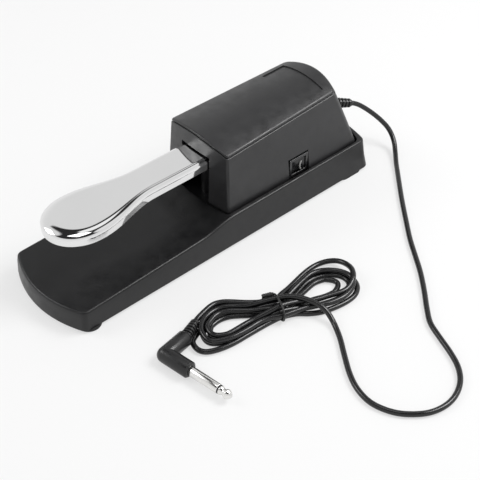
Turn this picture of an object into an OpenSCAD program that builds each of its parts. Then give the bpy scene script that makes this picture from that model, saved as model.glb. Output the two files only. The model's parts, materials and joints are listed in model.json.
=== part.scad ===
// Sustain pedal: chrome lever on a weighted base, with its housing, switch gear and lead.
// Millimetres, +Z up. Origin: middle of the base on the floor. -Y is the toe end, +Y the lead end.

/* [Base] */
// Length of the base along the floor
base_len = 265; // [262:1:268]
// Width of the base at its bottom edge
base_w = 76; // [75:0.5:78]
// Height of the front deck at its front edge
deck_front = 16.6; // [15:0.2:18]
// Height of the rim that surrounds the housing
rim_z = 25.2; // [24.6:0.2:26]
// Wall thickness of the mouldings
wall = 2.5; // [2:0.1:2.8]
// Thickness of the steel bottom plate
plate_t = 1.6; // [1.2:0.1:2]
// Height of the rubber feet below the bottom plate
foot_h = 2; // [1.5:0.1:2.5]

/* [Housing] */
// Half width of the housing where it meets the base
cover_w = 31.6; // [31:0.1:32]
// Half width of the housing top at the front
top_wf = 28.5; // [28:0.1:29]
// Half width of the housing top at the rear
top_wr = 24.8; // [24.4:0.1:25.4]
// Height of the top side edge at the front
top_zf = 68.3; // [67:0.1:70]
// Height of the top side edge at the rear
top_zr = 71.5; // [70:0.1:73]
// Crown of the top above its side edges
crown = 5.2; // [4:0.1:6]
// Half width of the slot that the lever passes through
slot_w = 13.9; // [13.6:0.1:14.5]
// Height of the top of that slot
slot_z = 60.6; // [60:0.1:62]

/* [Lever] */
// Height of the lever's flat top
lever_z = 59.2; // [58.6:0.1:59.6]
// Half width of the lever's shank
shank_w = 13; // [12.6:0.1:13.2]
// Half width of the rounded toe
toe_w = 22.2; // [19:0.1:24]
// Y of the tip of the toe
toe_y = -119.4; // [-122:0.1:-116]
// Depth of the turned-down skirt
skirt = 8; // [7:0.1:8.4]
// Thickness of the lever's steel
lever_t = 1.6; // [1.4:0.1:1.8]
// Y of the pivot pin
pivot_y = 78; // [77:0.5:79]
// Height of the pivot pin
pivot_z = 53; // [52.6:0.1:53.4]
// Radius of the pivot pin
pin_r = 3; // [2.8:0.1:3.1]

/* [Return spring] */
// Y of the return spring
spring_y = 30; // [28:0.5:32]
// Mean coil radius
spring_r = 6.6; // [6.4:0.1:7]
// Radius of the spring wire
wire_r = 0.85; // [0.7:0.05:0.9]
// Number of turns
spring_turns = 8; // [6:1:9]

/* [Lead and plug] */
// Radius of the lead
lead_r = 1.8; // [1.7:0.05:1.8]
// Radius of the jack plug's sleeve
jack_r = 3.175; // [3.1:0.025:3.2]
// Length of the jack plug beyond its barrel
jack_len = 31.4; // [31:0.1:32]
// Radius of the plug's moulded barrel
barrel_r = 5.3; // [5:0.1:5.6]

/* [Hidden] */
black = [0.13, 0.13, 0.14];
floor_z = 21.4;              // floor of the pocket that the housing stands in
roof_z = floor_z - 2.6;      // underside of that floor
plate_top = foot_h + plate_t;
seam_z = 25;
cover_yf = -3.8;             // middle of the housing's front wall at the seam
cover_yr = 126.8;            // middle of its rear wall at the seam
screw_xy = [24.5, 12, 100];  // housing screws: x, front y, rear y
stop_y = 10;                 // down stop
board_y = 50;                // switch plunger
press = 5;                   // travel of the lever in degrees

// ---- helpers ----
function lerp(a, b, t) = a + (b - a) * t;
function ease(t) = let (c = min(1, max(0, t))) c * c * (3 - 2 * c);

// Half of a rounded oblong, from the middle of its bowed front edge, round the +X side, to the middle of its rear edge.
// wf, wr: half widths; yf, yr: middles of the ends; sf, sr: how far the ends are bowed; rf, rr: corner radii; ys: stations on the side
function half_oblong(wf, wr, yf, sf, rf, yr, sr, rr, ys) =
    let (af = atan(2 * sf * (wf - rf) / pow(wf, 2)), xf = wf - rf + rf * sin(af), cf = yf + sf * pow(xf / wf, 2) + rf * cos(af),
         ar = atan(2 * sr * (wr - rr) / pow(wr, 2)), xr = wr - rr + rr * sin(ar), cr = yr - sr * pow(xr / wr, 2) - rr * cos(ar))
    concat(
        [for (i = [0:8]) [xf * i / 8, yf + sf * pow(xf * i / 8 / wf, 2)]],
        [for (i = [1:4]) let (a = lerp(af - 90, 0, i / 4)) [wf - rf + rf * cos(a), cf + rf * sin(a)]],
        [for (y = ys) [lerp(wf, wr, (y - cf) / (cr - cf)), y]],
        [for (i = [0:4]) let (a = lerp(0, 90 - ar, i / 4)) [wr - rr + rr * cos(a), cr + rr * sin(a)]],
        [for (i = [7:-1:0]) [xr * i / 8, yr - sr * pow(xr * i / 8 / wr, 2)]]);

// A closed skin through stacked rings. Each ring is [half outline, height function]; the first lies flat,
// and the last is capped by strips across X that follow its height function in m steps.
module skin(rings, m = 1) {
    h = rings[0][0]; n = len(h) - 1; N = 2 * n; R = len(rings);
    last = rings[R - 1];
    walls = [for (r = rings) for (i = [0:N - 1])
        let (p = i <= n ? r[0][i] : [-r[0][N - i][0], r[0][N - i][1]]) [p[0], p[1], r[1](p[0], p[1])]];
    inner = [for (i = [1:n - 1]) for (j = [1:1:m - 1])
        let (p = last[0][i], x = p[0] * (1 - 2 * j / m)) [x, p[1], last[1](x, p[1])]];
    top = (R - 1) * N;
    at = function (i, j) i == 0 ? top : i == n ? top + n : j == 0 ? top + i : j == m ? top + N - i
        : R * N + (i - 1) * (m - 1) + j - 1;
    polyhedron(concat(walls, inner), concat(
        [[for (i = [0:N - 1]) i]],
        [for (r = [0:R - 2]) for (i = [0:N - 1]) let (a = r * N + i, b = r * N + (i + 1) % N) each [[a, a + N, b + N], [a, b + N, b]]],
        [for (i = [0:n - 1]) for (j = [0:m - 1]) each
            i == 0 ? [[at(0, 0), at(1, j + 1), at(1, j)]]
            : i == n - 1 ? [[at(i, j), at(i, j + 1), at(n, 0)]]
            : [[at(i, j), at(i, j + 1), at(i + 1, j + 1)], [at(i, j), at(i + 1, j + 1), at(i + 1, j)]]]));
}

// A tube of s sides swept along points p
module sweep(p, r, s = 8) {
    n = len(p);
    t = [for (i = [0:n - 1]) let (d = p[min(n - 1, i + 1)] - p[max(0, i - 1)]) d / norm(d)];
    q = [for (i = [0:n - 1]) let (u = abs(t[i][2]) > 0.9 ? [1, 0, 0] : [0, 0, 1], a = cross(t[i], u), e = a / norm(a), f = cross(e, t[i]))
        for (k = [0:s - 1]) p[i] + r * cos(360 * (k + 0.5) / s) / cos(180 / s) * e + r * sin(360 * (k + 0.5) / s) / cos(180 / s) * f];
    polyhedron(q, concat(
        [[for (k = [s - 1:-1:0]) k]], [[for (k = [0:s - 1]) (n - 1) * s + k]],
        [for (i = [0:n - 2]) for (k = [0:s - 1]) let (a = i * s + k, b = i * s + (k + 1) % s) each [[a, b, a + s], [b, b + s, a + s]]]));
}

// A smooth line through route points, with m steps between neighbours
function smooth(p, m) = let (n = len(p)) concat(
    [for (i = [0:n - 2]) for (k = [0:m - 1])
        let (t = k / m, a = p[max(0, i - 1)], b = p[i], c = p[i + 1], d = p[min(n - 1, i + 2)])
        0.5 * (2 * b + (c - a) * t + (2 * a - 5 * b + 4 * c - d) * t * t + (3 * b - a - 3 * c + d) * t * t * t)],
    [p[n - 1]]);

// Pan-head screw standing on its point: head underside at z = 0, shank below
module screw(r = 1.5, len = 8, head_r = 2.8, head_h = 1.8) {
    difference() {
        union() {
            cylinder(r = head_r, h = head_h, $fn = 32);
            translate([0, 0, -len]) cylinder(r = r, h = len + 0.1, $fn = 24);
        }
        for (a = [0, 90]) rotate([0, 0, a]) translate([-head_r * 0.6, -0.35, head_h - 0.8]) cube([head_r * 1.2, 0.7, 1]);
    }
}

// ---- base ----
base_ys = [for (y = [-112:16:-48]) y, for (y = [-40:4:8]) y, for (y = [24:16:104]) y];
function base_half(z, in) = let (t = (z - foot_h) / 18) half_oblong(
    base_w / 2 - 0.7 * t - in, base_w / 2 - 2.7 * t - in,
    -base_len / 2 + 1 * t + in, 9.6, max(1, 4.5 - in / 2),
    base_len / 2 - 2.7 * t - in, 5, max(1.5, 5.5 - in / 2), base_ys);
function deck(y) = lerp(deck_front + 0.04 * (y + 120), rim_z, ease((y + 27) / 29));

module base_outer() {
    r = 1.2;
    skin([
        [base_half(foot_h, 0), function (x, y) foot_h],
        [base_half(12, 0), function (x, y) min(12, deck(y) - 4)],
        [base_half(20, 0), function (x, y) deck(y) - r],
        [base_half(20, 0.16), function (x, y) deck(y) - r * 0.5],
        [base_half(20, 0.6), function (x, y) deck(y) - r * 0.13],
        [base_half(20, 1.2), function (x, y) deck(y)]]);
}
function cover_half(z, in) = let (t = max(0, (z - seam_z) / (top_zf - seam_z))) half_oblong(
    lerp(cover_w, top_wf, t) - in, lerp(cover_w, top_wr, t) - in,
    lerp(cover_yf, -1.9, t) + in, 2.9, max(0.8, 2 - in / 2),
    lerp(cover_yr, 105.9, t) - in, lerp(7.9, 4.4, t), max(1.2, 4.4 - in / 2), [for (y = [10:12:94]) y]);

housing_spots = [for (s = [-1, 1]) for (y = [screw_xy[1], screw_xy[2]]) [s * screw_xy[0], y]];
plate_spots = [for (s = [-1, 1]) for (p = [[24, -100], [24, -42], [14, 118]]) [s * p[0], p[1]]];
bracket_spots = [for (s = [-1, 1]) for (y = [66.5, 89]) [s * 9, y]];
board_spots = [[-8.5, 44], [8.5, 58]];
front_spots = [for (s = [-1, 1]) [s * 31.3, -115.8]];
rear_spots = [for (s = [-1, 1]) [s * 30.4, 112]];

module base_tray() color(black) {
    difference() {
        union() {
            difference() {
                base_outer();
                skin([
                    [base_half(foot_h, wall), function (x, y) foot_h - 1],
                    [base_half(20, wall), function (x, y) min(deck(y), floor_z) - 2.6]]);
                translate([0, 0, floor_z]) linear_extrude(height = 10)
                    polygon([for (p = cover_pocket()) p]);
            }
            for (p = plate_spots) translate([p[0], p[1], plate_top]) cylinder(r = 3.6, h = min(deck(p[1]), floor_z) - 1 - plate_top, $fn = 32);
            for (p = housing_spots) translate([p[0], p[1], plate_top]) cylinder(r = 5, h = floor_z - 1 - plate_top, $fn = 32);
            for (p = bracket_spots) translate([p[0], p[1], 8]) cylinder(r = 3.6, h = floor_z - 9, $fn = 32);
            for (p = board_spots) translate([p[0], p[1], floor_z - 1]) cylinder(r = 3, h = 5.6, $fn = 32);
            translate([0, stop_y, floor_z - 1]) cylinder(r = 6, h = 26, $fn = 48);
            for (y = [-72, -12, 40]) translate([-34.6, y, 8]) cube([69.2, 2, min(deck(y), floor_z) - 9]);
        }
        for (p = plate_spots) translate([p[0], p[1], plate_top - 1]) cylinder(r = 1.3, h = 9, $fn = 24);
        for (p = housing_spots) {
            translate([p[0], p[1], plate_top - 1]) cylinder(r = 3.6, h = 11.4, $fn = 32);
            translate([p[0], p[1], plate_top]) cylinder(r = 1.75, h = 30, $fn = 24);
        }
        for (p = bracket_spots) translate([p[0], p[1], 9.5]) cylinder(r = 1.6, h = 20, $fn = 24);
        for (p = board_spots) translate([p[0], p[1], 20]) cylinder(r = 1.15, h = 10, $fn = 24);
    }
}
function cover_pocket() = let (h = cover_half(floor_z, -1.1), n = len(h) - 1)
    concat(h, [for (i = [n - 1:-1:1]) [-h[i][0], h[i][1]]]);

module bottom_plate() color([0.3, 0.31, 0.33]) {
    h = base_half(foot_h, wall + 1); n = len(h) - 1;
    translate([0, 0, foot_h]) difference() {
        linear_extrude(height = plate_t) polygon(concat(h, [for (i = [n - 1:-1:1]) [-h[i][0], h[i][1]]]));
        for (p = plate_spots) translate([p[0], p[1], -1]) cylinder(r = 1.7, h = 5, $fn = 24);
        for (p = housing_spots) translate([p[0], p[1], -1]) cylinder(r = 4, h = 5, $fn = 32);
        for (p = front_spots) translate([p[0], p[1], -1]) cylinder(r = 2.4, h = 5, $fn = 24);
        for (p = rear_spots) for (d = [-6, 6]) translate([p[0], p[1] + d, -1]) cylinder(r = 2.4, h = 5, $fn = 24);
    }
}
// Round pads at the front corners, each with a stud pushed into the plate
module front_feet() color([0.08, 0.08, 0.08]) for (p = front_spots) translate([p[0], p[1], 0])
    rotate_extrude($fn = 64) polygon([[0, 0], [7.3, 0], [8, 0.7], [8, foot_h], [2.35, foot_h], [2.35, foot_h + 2.2], [1.8, foot_h + 3], [0, foot_h + 3]]);
module rear_feet() color([0.08, 0.08, 0.08]) for (p = rear_spots) translate([p[0], p[1], 0]) {
    for (d = [-5, 5]) translate([0, d, 0]) cylinder(r = 7, h = foot_h, $fn = 48);
    translate([-7, -5, 0]) cube([14, 10, foot_h]);
    for (d = [-6, 6]) translate([0, d, 1]) cylinder(r = 2.35, h = foot_h + 1.6, $fn = 32);
}
module plate_screws() color([0.5, 0.5, 0.52]) for (p = plate_spots) translate([p[0], p[1], foot_h]) rotate([180, 0, 0]) screw(1.25, 9, 2.9, 1.3);

// ---- housing ----
function cover_top(x, y, in) = let (t = (y + 2) / 104, w = lerp(top_wf, top_wr, t) - in)
    lerp(top_zf, top_zr, t) - in + crown * (1 - pow(min(1, abs(x) / w), 2));
exit_dir = [0.398, 0.894, -0.208];
exit_at = [0, 120.7, 40];
module along_exit(t) { translate(exit_at + t * exit_dir) rotate([0, acos(exit_dir[2]), atan2(exit_dir[1], exit_dir[0])]) children(); }

module housing_cover() color(black) {
    difference() {
        union() {
            difference() {
                skin([
                    [cover_half(floor_z, 0), function (x, y) floor_z],
                    [cover_half(seam_z, 0), function (x, y) seam_z],
                    [cover_half(top_zf - 1.4, 0), function (x, y) cover_top(x, y, 0) - 1.4],
                    [cover_half(top_zf - 0.6, 0.25), function (x, y) cover_top(x, y, 0) - 0.6],
                    [cover_half(top_zf - 0.2, 0.7), function (x, y) cover_top(x, y, 0) - 0.2],
                    [cover_half(top_zf, 1.4), function (x, y) cover_top(x, y, 0)]], 10);
                skin([
                    [cover_half(floor_z, wall), function (x, y) floor_z - 1],
                    [cover_half(top_zf - wall, wall), function (x, y) cover_top(x, y, wall)]], 6);
            }
            for (p = housing_spots) translate([p[0], p[1], floor_z]) {
                cylinder(r = 4, h = 16, $fn = 32);
                translate([p[0] > 0 ? 0 : -4.5, -1, 0]) cube([4.5, 2, 14]);
            }
        }
        for (p = housing_spots) translate([p[0], p[1], floor_z - 1]) cylinder(r = 1.45, h = 15, $fn = 24);
        // slot for the lever, open at the bottom
        translate([-slot_w, -12, floor_z - 1]) cube([2 * slot_w, 14, slot_z - floor_z + 1]);
        // notch for the polarity switch
        translate([26, 54.1, floor_z - 1]) cube([9.5, 18.8, 39.3 - floor_z + 1]);
        // lead outlet
        along_exit(-6) cylinder(r = 3.8, h = 12, $fn = 32);
        // shallow panel sunk in the top
        difference() {
            translate([-20, 75, 60]) cube([39.5, 20, 20]);
            skin([
                [cover_half(top_zf, 2), function (x, y) 58],
                [cover_half(top_zf, 2), function (x, y) cover_top(x, y, 0) - 0.8]], 10);
        }
    }
}
module housing_screws() color([0.5, 0.5, 0.52]) for (p = housing_spots) translate([p[0], p[1], plate_top + 10.4]) rotate([180, 0, 0]) screw(1.4, 16, 3.2, 2);

// ---- pivot bracket and pin ----
module ear() rotate([90, 0, 90]) linear_extrude(height = 2) difference() {
    union() {
        translate([-10, floor_z - pivot_z]) square([20, pivot_z - floor_z]);
        circle(r = 8, $fn = 64);
        polygon([[-10, 0], [10, 0], [8, 3], [-8, 3]]);
    }
    circle(r = pin_r + 0.03, $fn = 64);
}
module pivot_bracket() color([0.62, 0.62, 0.6]) difference() {
    union() {
        translate([-16.5, 62, floor_z]) cube([33, 34, 2]);
        for (x = [-16.5, 14.5]) translate([x, pivot_y, pivot_z]) ear();
        for (x = [-16.5, 14.5]) translate([x, pivot_y - 10, floor_z]) cube([2, 20, 4]);
        translate([-13, 94, floor_z]) cube([26, 2, 25.7]);
        translate([-13, 88, floor_z + 23.7]) cube([26, 8, 2]);
    }
    for (p = bracket_spots) translate([p[0], p[1], floor_z - 1]) cylinder(r = 2.1, h = 5, $fn = 24);
}
module bracket_screws() color([0.5, 0.5, 0.52]) for (p = bracket_spots) translate([p[0], p[1], floor_z + 2]) screw(1.5, 10, 3.2, 2);
module pivot_pin() color([0.75, 0.75, 0.76]) translate([-20, pivot_y, pivot_z]) rotate([0, 90, 0])
    rotate_extrude($fn = 64) polygon([[0, 0], [pin_r - 0.5, 0], [pin_r, 0.5], [pin_r, 2.1], [pin_r - 0.5, 2.1], [pin_r - 0.5, 3.1], [pin_r, 3.1],
        [pin_r, 36.9], [pin_r - 0.5, 36.9], [pin_r - 0.5, 37.9], [pin_r, 37.9], [pin_r, 39.5], [pin_r - 0.5, 40], [0, 40]]);
module pin_clips() color([0.25, 0.25, 0.26]) for (x = [-17.8, 17]) translate([x, pivot_y, pivot_z]) rotate([0, 90, 0]) difference() {
    cylinder(r = 5, h = 0.8, $fn = 48);
    translate([0, 0, -1]) cylinder(r = pin_r - 0.47, h = 3, $fn = 48);
    translate([-1.6, 0, -1]) cube([3.2, 8, 3]);
}
module pivot_bushes() color([0.9, 0.88, 0.82]) for (x = [-14.4, 13.15]) translate([x, pivot_y, pivot_z]) rotate([0, 90, 0]) difference() {
    cylinder(r = 6, h = 1.25, $fn = 48);
    translate([0, 0, -1]) cylinder(r = pin_r + 0.04, h = 4, $fn = 64);
}
// Rubber pad that the lever's tail rests on
module rest_pad() color([0.1, 0.1, 0.1]) translate([-12.5, 88.5, floor_z + 25.7]) cube([25, 7, lever_z - skirt - 0.1 - floor_z - 25.7]);
module down_stop_pad() color([0.1, 0.1, 0.1]) translate([0, stop_y, floor_z + 25]) rotate_extrude($fn = 48)
    polygon([[0, 0], [6, 0], [6, 3.6], [5.2, 4.4], [0, 4.4]]);

// ---- return spring ----
seat_top = floor_z + 3;
cap_low = 54.6;
module spring_seat() color([0.9, 0.88, 0.82]) translate([0, spring_y, floor_z]) rotate_extrude($fn = 64)
    polygon([[0, 0], [10, 0], [10, 5], [8.6, 5], [8.6, 3], [5, 3], [5, 8], [4, 9], [0, 9]]);
module return_spring() color([0.7, 0.7, 0.72]) {
    lo = seat_top + wire_r / cos(30) + 0.03; hi = cap_low - wire_r / cos(30) - 0.15; steps = spring_turns * 12;
    sweep([for (i = [0:steps]) let (a = 360 * i / 12, u = min(1, max(0, (i / 12 - 0.75) / (spring_turns - 1.5))))
        [spring_r * cos(a), spring_y + spring_r * sin(a), lerp(lo + 0.9 * min(i / 12, 0.75), hi - 0.9 * min(spring_turns - i / 12, 0.75), u)]], wire_r, 6);
}
module spring_cap() color([0.9, 0.88, 0.82]) translate([0, spring_y, lever_z - lever_t]) rotate([180, 0, 0]) rotate_extrude($fn = 64)
    polygon([[0, 0], [9, 0], [9, lever_z - lever_t - cap_low], [5, lever_z - lever_t - cap_low], [5, 7.4], [4, 8.4], [0, 8.4]]);

// ---- switch ----
module switch_board() color([0.1, 0.32, 0.16]) translate([0, 0, floor_z + 4.6]) difference() {
    translate([-12, 41, 0]) cube([24, 20, 1.6]);
    for (p = board_spots) translate([p[0], p[1], -1]) cylinder(r = 1.4, h = 4, $fn = 24);
}
module board_screws() color([0.5, 0.5, 0.52]) for (p = board_spots) translate([p[0], p[1], floor_z + 6.2]) screw(1.1, 5.5, 2.2, 1.4);
module switch_body() color([0.05, 0.05, 0.05]) translate([0, board_y, floor_z + 6.2]) difference() {
    union() {
        translate([-3.2, -6.5, 0]) cube([6.4, 14, 15]);
        cylinder(r = 3.1, h = 17, $fn = 48);
    }
    translate([0, 0, 8]) cylinder(r = 2.05, h = 10, $fn = 48);
    for (y = [-4.4, 5.4]) translate([-4, y, 7.5]) rotate([0, 90, 0]) cylinder(r = 1, h = 8, $fn = 24);
}
module switch_plunger() color([0.75, 0.1, 0.08]) translate([0, board_y, 38.8]) rotate_extrude($fn = 48)
    polygon([[0, 0], [2, 0], [2, 10.7], [1.5, 11.2], [0, 11.2]]);
module actuator_pad() color([0.1, 0.1, 0.1]) translate([0, board_y, lever_z - lever_t]) rotate([180, 0, 0]) rotate_extrude($fn = 48)
    polygon([[0, 0], [4.5, 0], [4.5, 2], [3.6, 3], [3.6, 6.7], [3, 7.3], [0, 7.3]]);

// ---- polarity switch ----
rock_x = 25.2; rock_y = 64.2;
module polarity_frame() color([0.07, 0.07, 0.07]) difference() {
    union() {
        translate([28.4, 55.7, 23]) cube([1.8, 17, 14.8]);
        translate([20, 56, floor_z]) cube([8.5, 16.4, 15.8]);
        for (y = [58, 63.5, 69]) translate([17.5, y - 0.4, 28]) cube([2.6, 0.8, 4]);
    }
    translate([22, rock_y - 6.4, 26]) cube([9, 12.8, 10]);
    translate([rock_x, rock_y, 23.9]) cylinder(r = 1.05, h = 13.4, $fn = 32);
}
module polarity_rocker() color([0.1, 0.1, 0.1]) translate([rock_x, rock_y, 0]) rotate([0, 0, -8]) {
    translate([0, 0, 26.15]) linear_extrude(height = 9.7) union() {
        polygon([[-1, -5], [4.4, -5.6], [4.7, -5.2], [3.1, 0], [4.7, 5.2], [4.4, 5.6], [-1, 5]]);
        circle(r = 1.9, $fn = 32);
    }
    translate([0, 0, 24]) cylinder(r = 1, h = 13.2, $fn = 32);
}

// ---- wiring inside the housing ----
module switch_leads() color([0.6, 0.08, 0.06]) sweep(smooth([[10.5, 50, 29.1], [12.4, 52.6, 30.2], [13.6, 56, 30.2], [15.4, 58, 30], [17.45, 58, 30]], 3), 0.9, 6);
module inner_lead() color([0.1, 0.1, 0.1]) sweep(smooth(concat([exit_at - 6.1 * exit_dir, exit_at - 10 * exit_dir],
    [[-8, 107, 38], [-15, 101, 31], [-18.6, 93, 26], [-18.8, 86, 24.4], [-18.8, 82, 24.2], [-18.8, 78, 24.2], [-18.8, 74, 24.2], [-18.8, 70, 24.3], [-17.8, 64, 25.5], [-14.5, 57, 29], [-10, 53, 29.2]]), 3), 1.3, 8);
module lead_clamp() color([0.9, 0.88, 0.82]) translate([-18.8, 76, floor_z]) {
    difference() {
        translate([-1.9, 0, 0]) cube([4.1, 4, 5.4]);
        translate([0, -1, 2.8]) rotate([-90, 0, 0]) cylinder(r = 1.5, h = 6, $fn = 32);
    }
}

// ---- lever ----
shank_y = -45.3; widest_y = -92.2;
function lever_half(in, fr = 0, ex = 0) = let (a = toe_w - in - ex, b = widest_y - toe_y - in - fr) concat(
    [for (i = [0:14]) let (t = 90 * i / 14) [a * sin(t), widest_y - b * pow(cos(t), 0.909)]],
    [for (i = [1:14]) let (t = i / 14) [lerp(a, shank_w - in, (1 - cos(180 * t)) / 2), lerp(widest_y, shank_y, t)]],
    [for (y = [-30, -10, 10, 30, 50, 70, 88]) [shank_w - in, y]], [[shank_w - in, 97.4 - (in > 1.2 ? 1.6 : 0)], [0, 98 - (in > 1.2 ? 1.6 : 0)]]);
module lever_shell() difference() {
    low = lever_z - skirt;
    skin([
        [lever_half(0), function (x, y) low],
        each [for (a = [0:22.5:90]) let (u = 1 - cos(a)) [lever_half(4 * u, 4.8 * u, 3 * u), function (x, y) lever_z - 3.8 * (1 - sin(a))]]]);
    skin([
        [lever_half(lever_t), function (x, y) low - 1],
        each [for (a = [0:22.5:90]) let (u = 1 - cos(a)) [lever_half(lever_t + 2.2 * u, 4.6 * u, 3 * u), function (x, y) lever_z - lever_t - 2.2 * (1 - sin(a))]]]);
}
module pedal_lever() color([0.86, 0.87, 0.88]) difference() {
    union() {
        lever_shell();
        for (x = [-shank_w - 0.05, shank_w - lever_t - 0.1]) translate([x, pivot_y, pivot_z]) rotate([90, 0, 90]) linear_extrude(height = lever_t + 0.15)
            union() {
                circle(r = 7, $fn = 64);
                polygon([[-12.3, lever_z - skirt - pivot_z + 0.4], [-5.6, -3.4], [5.6, -3.4], [12.3, lever_z - skirt - pivot_z + 0.4], [11.7, 2.3], [-11.7, 2.3]]);
            }
    }
    translate([-20, pivot_y, pivot_z]) rotate([0, 90, 0]) cylinder(r = pin_r + 0.06, h = 40, $fn = 64);
}

// ---- lead ----
strain_len = 19.5;
route = concat([exit_at + strain_len * exit_dir], [
    [10.5, 144, 32.8], [15.5, 150.5, 26.8], [21.5, 156, 20], [28, 159, 13.5], [35, 157.5, 7.6], [42, 152, 4],
    [50, 144.5, 2.3], [60, 135.5, 1.9], [80, 117.5, 1.9], [97, 103, 1.9], [112, 90.5, 1.9], [125, 81, 1.9],
    [138, 71.5, 1.9], [151, 60.5, 1.9], [163, 49.5, 1.9], [173, 41.5, 1.9], [185, 36.5, 1.9], [197, 32, 1.9],
    [207, 27, 1.9], [214.5, 20.5, 1.9], [219.5, 12.5, 1.9], [222, 3.5, 1.9], [221.5, -6, 1.9], [218, -15, 1.9],
    [210.5, -24, 1.9], [202, -29.5, 1.9], [191.5, -32.3, 1.9], [180, -30.7, 1.9], [169, -25.8, 1.9], [156, -17.3, 1.9],
    [145.5, -10, 1.9], [136, -4.8, 2.4], [130, -3, 4.4]]);
module strain_relief() color([0.06, 0.06, 0.06]) {
    along_exit(-6) cylinder(r = 6, h = 2, $fn = 48);
    along_exit(-4.2) cylinder(r = 3.75, h = 6, $fn = 48);
    along_exit(0.6) cylinder(r1 = 4.3, r2 = 3, h = strain_len - 0.6, $fn = 48);
    for (i = [0:5]) along_exit(2 + 2.9 * i) cylinder(r = 4.3 - 0.16 * i, h = 1.7, $fn = 48);
}
module cable() color([0.05, 0.05, 0.05]) sweep(smooth(route, 2), lead_r, 8);
// The folded hank, pinched at its waist by the tie: a loop at each end, r 20.5
function arc(c, r, a0, a1, n) = [for (i = [0:n]) let (a = lerp(a0, a1, i / n)) [c[0] + r * cos(a), c[1] + r * sin(a)]];
hank_a = [93, -62]; hank_b = [109, 18.5];
module cable_hank() color([0.05, 0.05, 0.05]) difference() {
    linear_extrude(height = 9) polygon(concat(
        arc(hank_a, 20.5, 150, 372, 28), [[113, -44], [113, -30], [116, -17], [126, -3]],
        arc(hank_b, 20.5, -30, 205, 30), [[93, -2], [95, -18], [89, -36]]));
    translate([104, -23, -1]) rotate([0, 0, -22]) translate([-14, -3, 0]) cube([28, 6, 2]);
    plug_frame() rotate([-90, 0, 0]) cylinder(r = barrel_r + 0.4, h = 19.6, $fn = 64);
}
module cable_tie() color([0.04, 0.04, 0.04]) translate([104.3, -23, 0]) rotate([0, 0, -22]) {
    difference() {
        translate([-11, -1.6, 0.1]) cube([22.5, 3.2, 9.9]);
        translate([-10.2, -3, 0.9]) cube([20.9, 6, 8.3]);
    }
    translate([-9, -6, 9.4]) cube([2.4, 5, 1.6]);
}

// ---- plug ----
plug_at = [87, -99.5, barrel_r];
module plug_frame() { translate(plug_at) rotate([0, 0, 9]) children(); }
module plug_body() color([0.05, 0.05, 0.05]) plug_frame() difference() {
    union() {
        sphere(r = barrel_r, $fn = 64);
        rotate([0, 90, 0]) rotate_extrude($fn = 64) polygon([[0, 0], [barrel_r, 0], [barrel_r, 19], [barrel_r - 1, 20], [0, 20]]);
        rotate([-90, 0, 0]) rotate_extrude($fn = 64) polygon([[0, 0], [barrel_r, 0], [barrel_r, 17.5], [barrel_r - 1, 19], [0, 19]]);
    }
    translate([12, 0, 0]) rotate([0, 90, 0]) cylinder(r = jack_r - 0.28, h = 12, $fn = 64);
}
module plug_boot() color([0.05, 0.05, 0.05]) plug_frame() translate([0, 18, 0]) rotate([0, 0, 16]) rotate([-90, 0, 0]) {
    cylinder(r1 = 4, r2 = 2.7, h = 15, $fn = 48);
    for (i = [0:3]) translate([0, 0, 3 + 2.8 * i]) cylinder(r = 4.1 - 0.3 * i, h = 1.6, $fn = 48);
}
module plug_sleeve() color([0.8, 0.8, 0.78]) plug_frame() translate([12, 0, 0]) rotate([0, 90, 0])
    rotate_extrude($fn = 64) polygon([[2, 0], [jack_r - 0.3, 0], [jack_r - 0.3, 8.05], [jack_r, 8.05], [jack_r, 29.6], [jack_r - 0.3, 29.9], [2, 29.9]]);
module plug_insulator() color([0.03, 0.03, 0.03]) plug_frame() translate([12, 0, 0]) rotate([0, 90, 0])
    rotate_extrude($fn = 64) polygon([[1.2, 0], [1.99, 0], [1.99, 29.9], [jack_r - 0.25, 29.9], [jack_r - 0.25, 31], [1.2, 31]]);
module plug_tip() color([0.8, 0.8, 0.78]) plug_frame() translate([12, 0, 0]) rotate([0, 90, 0])
    rotate_extrude($fn = 64) polygon([[0, 0], [1.19, 0], [1.19, 31], [2.9, 31], [2.9, 31.6], [2.2, 33], [2.2, 33.8], [jack_r, 35.6], [jack_r, 36.2],
        [2.4, 37.8], [1.3, 39], [0.6, jack_len + 8], [0, jack_len + 8]]);

base_tray();
bottom_plate();
front_feet();
rear_feet();
plate_screws();
housing_cover();
housing_screws();
pivot_bracket();
bracket_screws();
pivot_pin();
pin_clips();
pivot_bushes();
rest_pad();
down_stop_pad();
spring_seat();
return_spring();
switch_board();
board_screws();
switch_body();
switch_plunger();
polarity_frame();
polarity_rocker();
switch_leads();
inner_lead();
lead_clamp();
pedal_lever();
spring_cap();
actuator_pad();
strain_relief();
cable();
cable_hank();
cable_tie();
plug_boot();
plug_body();
plug_sleeve();
plug_insulator();
plug_tip();
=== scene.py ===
import json
import math
import bpy
import bmesh
from mathutils import Vector, Matrix


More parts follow.
